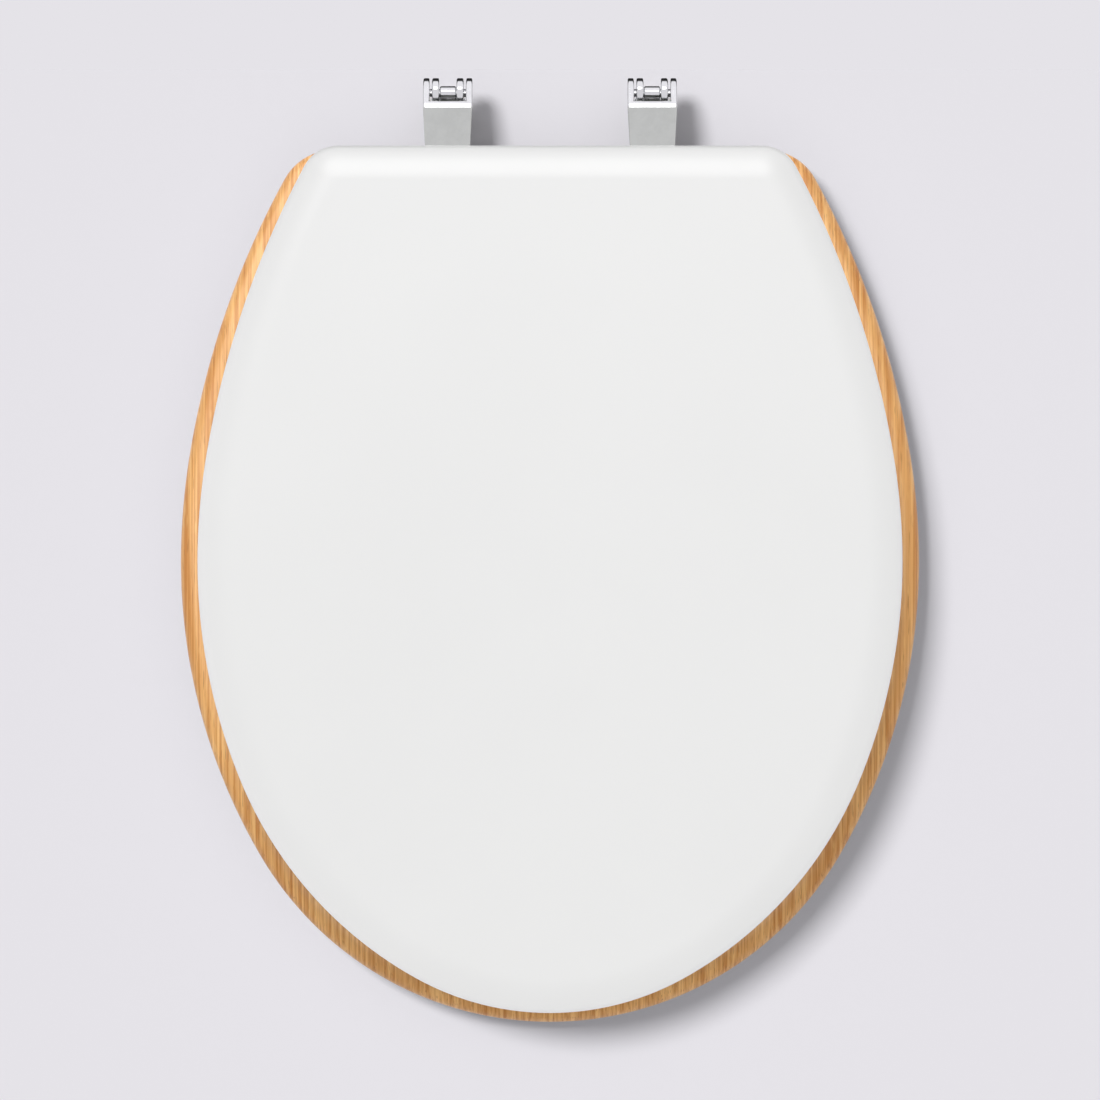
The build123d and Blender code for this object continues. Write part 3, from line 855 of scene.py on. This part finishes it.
def thread(low, high, root, crest, pitch):
    """A thread round the Z axis: one tooth carried round and up, then cut flat at both ends."""
    mesh = bmesh.new()
    turns = math.ceil((high - low) / pitch) + 2
    corners = [(root, 0), (crest, pitch / 2), (root, pitch)]
    tooth = [mesh.verts.new((radius, 0, low - pitch + rise)) for radius, rise in corners]
    edges = [mesh.edges.new(pair) for pair in zip(tooth, tooth[1:])]
    bmesh.ops.spin(
        mesh,
        geom=tooth + edges,
        cent=(0, 0, 0),
        axis=(0, 0, 1),
        dvec=(0, 0, pitch / THREAD_STEPS),
        angle=math.tau * turns,
        steps=turns * THREAD_STEPS,
    )
    bmesh.ops.remove_doubles(mesh, verts=mesh.verts, dist=MERGE)
    for height, upwards in ((low, -1), (high, 1)):
        whole = mesh.verts[:] + mesh.edges[:] + mesh.faces[:]
        cut = bmesh.ops.bisect_plane(
            mesh, geom=whole, plane_co=(0, 0, height), plane_no=(0, 0, upwards), clear_outer=True
        )
        loop = [item for item in cut["geom_cut"] if isinstance(item, bmesh.types.BMEdge)]
        bmesh.ops.edgeloop_fill(mesh, edges=loop)
    bmesh.ops.recalc_face_normals(mesh, faces=mesh.faces)
    return mesh


def add_mesh(mesh, other):
    """Puts a copy of another mesh into a mesh."""
    data = bpy.data.meshes.new("joined")
    other.to_mesh(data)
    other.free()
    mesh.from_mesh(data)
    bpy.data.meshes.remove(data)


def repeat_at(mesh, places):
    """Repeats a shape from the origin at each place, and turns each a little further than the last."""
    pattern = mesh.verts[:] + mesh.edges[:] + mesh.faces[:]
    for index, place in enumerate(places):
        copied = bmesh.ops.duplicate(mesh, geom=pattern)["geom"]
        verts = [item for item in copied if isinstance(item, bmesh.types.BMVert)]
        turn = Matrix.Rotation(SCREW_TURN * index, 3, "Z")
        bmesh.ops.rotate(mesh, verts=verts, cent=(0, 0, 0), matrix=turn)
        bmesh.ops.translate(mesh, verts=verts, vec=place)
    bmesh.ops.delete(mesh, geom=pattern, context="VERTS")


class TOILETSEAT_OT_studs(bpy.types.Operator):
    """Model the studs that go down through the deck, with their threads"""

    bl_idname = "toilet_seat.studs"
    bl_label = "Studs"

    def execute(self, context):
        sizes = context.scene.toilet_seat_sizes
        boxes = solid_boxes("fixing_studs")
        low, high = boxes[0]
        radius = (high.x - low.x) / 2
        edge = sizes.turned_edge
        mesh = lathe(
            [
                (0, -sizes.stud_plain),
                (radius - edge, -sizes.stud_plain),
                (radius, edge - sizes.stud_plain),
                (radius, high.z - edge),
                (radius - edge, high.z),
                (0, high.z),
            ]
        )
        bmesh.ops.recalc_face_normals(mesh, faces=mesh.faces)
        crest = radius - CREST_CUT * edge
        threaded = thread(low.z, edge - sizes.stud_plain, sizes.stud_root, crest, sizes.stud_pitch)
        end = [vertex for vertex in threaded.verts if vertex.co.z < low.z + MERGE]
        bmesh.ops.scale(threaded, verts=end, vec=(STUD_END, STUD_END, 1))
        add_mesh(mesh, threaded)
        repeat_at(mesh, [((first.x + last.x) / 2, (first.y + last.y) / 2, 0) for first, last in boxes])
        even_shading(settle(mesh, "studs_threaded", "fixing_studs"))
        return {"FINISHED"}


def is_level(edge):
    """True for an edge in the plane of a screw's head."""
    return all(abs(vertex.co.z) < MERGE for vertex in edge.verts)


def off_axes(face):
    """How far the middle of a face lies from the nearer of the X and Y axes."""
    middle = face.calc_center_median()
    return min(abs(middle.x), abs(middle.y))


def cross_recess(mesh, half, depth):
    """Closes a screw's open head with a face that has a cross sunk in it."""
    rim = {edge for edge in mesh.edges if edge.is_boundary and is_level(edge)}
    made = bmesh.ops.create_grid(mesh, x_segments=3, y_segments=3, size=half)["verts"]
    cells = {face for vertex in made for face in vertex.link_faces}
    corners = [face for face in cells if off_axes(face) > half / 3]
    bmesh.ops.delete(mesh, geom=corners, context="FACES")
    cross = sorted(cells - set(corners), key=lambda face: tuple(face.calc_center_median()))
    sunk = bmesh.ops.extrude_face_region(mesh, geom=cross)["geom"]
    floor = [item for item in sunk if isinstance(item, bmesh.types.BMVert)]
    bmesh.ops.scale(mesh, verts=floor, vec=(RECESS_FLOOR, RECESS_FLOOR, 1))
    bmesh.ops.translate(mesh, verts=floor, vec=(0, 0, depth))
    bmesh.ops.delete(mesh, geom=cross, context="FACES_ONLY")
    mesh.edges.index_update()
    mouth = {edge for edge in mesh.edges if edge.is_boundary and is_level(edge)}
    loops = sorted(rim | mouth, key=lambda edge: edge.index)
    bmesh.ops.triangle_fill(mesh, edges=loops, use_beauty=True)


def wood_screw(sizes, head_radius, reach):
    """A countersunk wood screw at the origin, with its head down and its point up."""
    core = SCREW_CORE * sizes.screw_shank
    lip = HEAD_LIP * sizes.screw_head
    tip = reach - sizes.screw_tip
    mesh = lathe(
        [
            (head_radius, 0),
            (head_radius, lip),
            (sizes.screw_shank, sizes.screw_head),
            (core, sizes.screw_head + lip),
            (core, tip),
            (0, reach),
        ]
    )
    cross_recess(mesh, sizes.recess, RECESS_DEPTH * sizes.screw_head)
    bmesh.ops.recalc_face_normals(mesh, faces=mesh.faces)
    start = sizes.screw_head + sizes.screw_pitch
    add_mesh(mesh, thread(start, tip, SCREW_ROOT * core, sizes.screw_shank, sizes.screw_pitch))
    return mesh


class TOILETSEAT_OT_wood_screws(bpy.types.Operator):
    """Model the countersunk screws of the leaves and the buffers"""

    bl_idname = "toilet_seat.wood_screws"
    bl_label = "Wood Screws"

    def execute(self, context):
        sizes = context.scene.toilet_seat_sizes
        for node in ("seat_leaf_screws", "seat_buffer_screws", "lid_leaf_screws", "lid_buffer_screws"):
            boxes = solid_boxes(node)
            low, high = boxes[0]
            mesh = wood_screw(sizes, (high.x - low.x) / 2, high.z - low.z)
            repeat_at(mesh, [((a.x + b.x) / 2, (a.y + b.y) / 2, a.z) for a, b in boxes])
            even_shading(settle(mesh, f"{node}_threaded", node))
        return {"FINISHED"}


class TOILETSEAT_OT_stage(bpy.types.Operator):
    """Set the floor, the soft light, the pale background and the camera"""

    bl_idname = "toilet_seat.stage"
    bl_label = "Stage"

    def execute(self, context):
        scene = context.scene
        stage = scene.toilet_seat_stage
        pale = tuple(scene.toilet_seat_colours.background)
        floor = self.lay_floor(scene, stage, pale)
        self.light_sky(scene, pale)
        self.hang_lamps(scene, floor)
        self.set_camera(scene, stage)
        scene.view_settings.view_transform = "Standard"
        return {"FINISHED"}

    def lay_floor(self, scene, stage, pale):
        """A pale slab like the bowl's deck; it ends behind the hinges, so that the lid can swing down."""
        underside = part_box("cone_washers")[1].z
        middle = (0, stage.floor_rear - stage.floor_reach, underside)
        mesh = bmesh.new()
        bmesh.ops.create_grid(mesh, x_segments=1, y_segments=1, size=stage.floor_reach)
        bmesh.ops.translate(mesh, verts=mesh.verts, vec=middle)
        raise_slab(mesh, -underside)
        data = bpy.data.meshes.new("floor")
        mesh.to_mesh(data)
        mesh.free()
        cover = bpy.data.materials.new("floor_finish")
        recipe = Recipe(cover)
        tooth = recipe.noise(recipe.place(), scale=900.0)
        recipe.surface(
            Base_Color=(*pale, 1.0),
            Roughness=0.9,
            Specular_IOR_Level=0.0,
            Normal=recipe.bump(tooth, strength=0.02, distance=0.0001),
        )
        data.materials.append(cover)
        floor = bpy.data.objects.new("floor", data)
        scene.collection.objects.link(floor)
        return floor

    def hang_lamps(self, scene, floor):
        """Soft light on every piece and a gloss for each finish; the oak casts no colour on the rest."""
        castings = [bpy.data.objects[f"{node}_dressed"] for node in CASTINGS]
        lid = bpy.data.objects["lid_lacquered"]
        ring = bpy.data.objects["ring_oak"]
        ring.visible_diffuse = False
        ring.visible_glossy = False
        self.hang_lamp(scene, "floor_lamp", FLOOR_LAMP, [floor], "INCLUDE")
        self.hang_lamp(scene, "fill_lamp", FILL_LAMP, [floor], "INCLUDE").data.use_shadow = False
        self.hang_lamp(scene, "rim_lamp", RIM_LAMP, [ring], "INCLUDE")
        self.hang_lamp(scene, "sheen_lamp", SHEEN_LAMP, [ring], "INCLUDE").visible_diffuse = False
        self.hang_lamp(scene, "tent_lamp", TENT_LAMP, [floor], "EXCLUDE").visible_glossy = False
        self.hang_lamp(scene, "lid_lamp", LID_LAMP, [floor, ring], "EXCLUDE").visible_glossy = False
        gleam = self.hang_lamp(scene, "gleam_lamp", GLEAM_LAMP, [floor, *castings], "EXCLUDE")
        gleam.visible_diffuse = False
        self.hang_lamp(scene, "spark_lamp", SPARK_LAMP, castings, "INCLUDE").visible_diffuse = False
        for side, lamp in EDGE_LAMPS.items():
            self.hang_lamp(scene, f"edge_lamp_{side}", lamp, [lid], "INCLUDE").visible_glossy = False

    def hang_lamp(self, scene, name, lamp, objects, link_state):
        """A far lamp that lights some objects alone, or all but those."""
        sun = bpy.data.lights.new(name, "SUN")
        sun.energy = lamp["light"] * math.pi / lamp["source"].normalized().z
        sun.angle = lamp["width"]
        hung = bpy.data.objects.new(name, sun)
        hung.rotation_euler = lamp["source"].to_track_quat("Z", "Y").to_euler()
        scene.collection.objects.link(hung)
        lit = bpy.data.collections.new(f"{name}_reach")
        for index, item in enumerate(objects):
            lit.objects.link(item)
            lit.collection_objects[index].light_linking.link_state = link_state
        hung.light_linking.receiver_collection = lit
        return hung

    def light_sky(self, scene, pale):
        """An even sky; camera, mirror and glass rays see the pale background, which mirrors see uneven."""
        world = bpy.data.worlds.new("studio")
        scene.world = world
        recipe = Recipe(world)
        is_camera = recipe.node("ShaderNodeLightPath", output="Is Camera Ray")
        is_glossy = recipe.node("ShaderNodeLightPath", output="Is Glossy Ray")
        is_clear = recipe.node("ShaderNodeLightPath", output="Is Transmission Ray")
        heading = recipe.node("ShaderNodeTexCoord", output="Generated")
        rise = recipe.node("ShaderNodeSeparateXYZ", sockets={"Vector": heading}, output="Z")
        back = recipe.node("ShaderNodeSeparateXYZ", sockets={"Vector": heading}, output="Y")
        dark = is_glossy * recipe.band(back, *DARK_BACK) * (1 - recipe.band(rise, *DARK_RISE))
        seen = recipe.mix(dark, pale, scaled(pale, DARK_SHARE))
        glow = 1 + GLOW_GAIN * (is_glossy * recipe.band(back, *GLOW_BACK))
        shown = recipe.node("ShaderNodeBackground", sockets={"Color": seen, "Strength": glow})
        lit = recipe.node("ShaderNodeBackground", sockets={"Color": (1, 1, 1, 1), "Strength": SKY_LIGHT})
        both = {"Fac": is_camera + is_glossy + is_clear, 1: lit, 2: shown}
        shader = recipe.node("ShaderNodeMixShader", sockets=both)
        recipe.node("ShaderNodeOutputWorld", sockets={"Surface": shader}, output=None)

    def set_camera(self, scene, stage):
        """A camera that looks straight down on the closed seat."""
        lens = bpy.data.cameras.new("camera")
        lens.lens = stage.lens
        camera = bpy.data.objects.new("camera", lens)
        camera.location = (0, stage.camera_y, stage.camera_height)
        scene.collection.objects.link(camera)
        scene.camera = camera


OPERATORS = (
    TOILETSEAT_OT_ring,
    TOILETSEAT_OT_lid,
    TOILETSEAT_OT_castings,
    TOILETSEAT_OT_turned_fixings,
    TOILETSEAT_OT_mouldings,
    TOILETSEAT_OT_studs,
    TOILETSEAT_OT_wood_screws,
    TOILETSEAT_OT_stage,
)


class TOILETSEAT_PT_pieces(bpy.types.Panel):
    """Lists the pieces of the seat and the stage"""

    bl_idname = "TOILETSEAT_PT_pieces"
    bl_label = "Toilet Seat"
    bl_space_type = "VIEW_3D"
    bl_region_type = "UI"
    bl_category = "Toilet Seat"

    def draw(self, context):
        for operator in OPERATORS:
            self.layout.operator(operator.bl_idname)
        for name, group in PROPERTY_GROUPS.items():
            column = self.layout.column(align=True)
            for setting in group.__annotations__:
                column.prop(getattr(context.scene, name), setting)


PROPERTY_GROUPS = {
    "toilet_seat_sizes": ToiletSeatSizes,
    "toilet_seat_colours": ToiletSeatColours,
    "toilet_seat_stage": ToiletSeatStage,
}
CLASSES = (*PROPERTY_GROUPS.values(), *OPERATORS, TOILETSEAT_PT_pieces)


def register():
    for made in CLASSES:
        bpy.utils.register_class(made)
    for name, group in PROPERTY_GROUPS.items():
        setattr(bpy.types.Scene, name, PointerProperty(type=group))


def unregister():
    for name in PROPERTY_GROUPS:
        delattr(bpy.types.Scene, name)
    for made in reversed(CLASSES):
        bpy.utils.unregister_class(made)


def main():
    register()
    for operator in OPERATORS:
        group, name = operator.bl_idname.split(".")
        getattr(getattr(bpy.ops, group), name)()


if __name__ == "__main__":
    main()
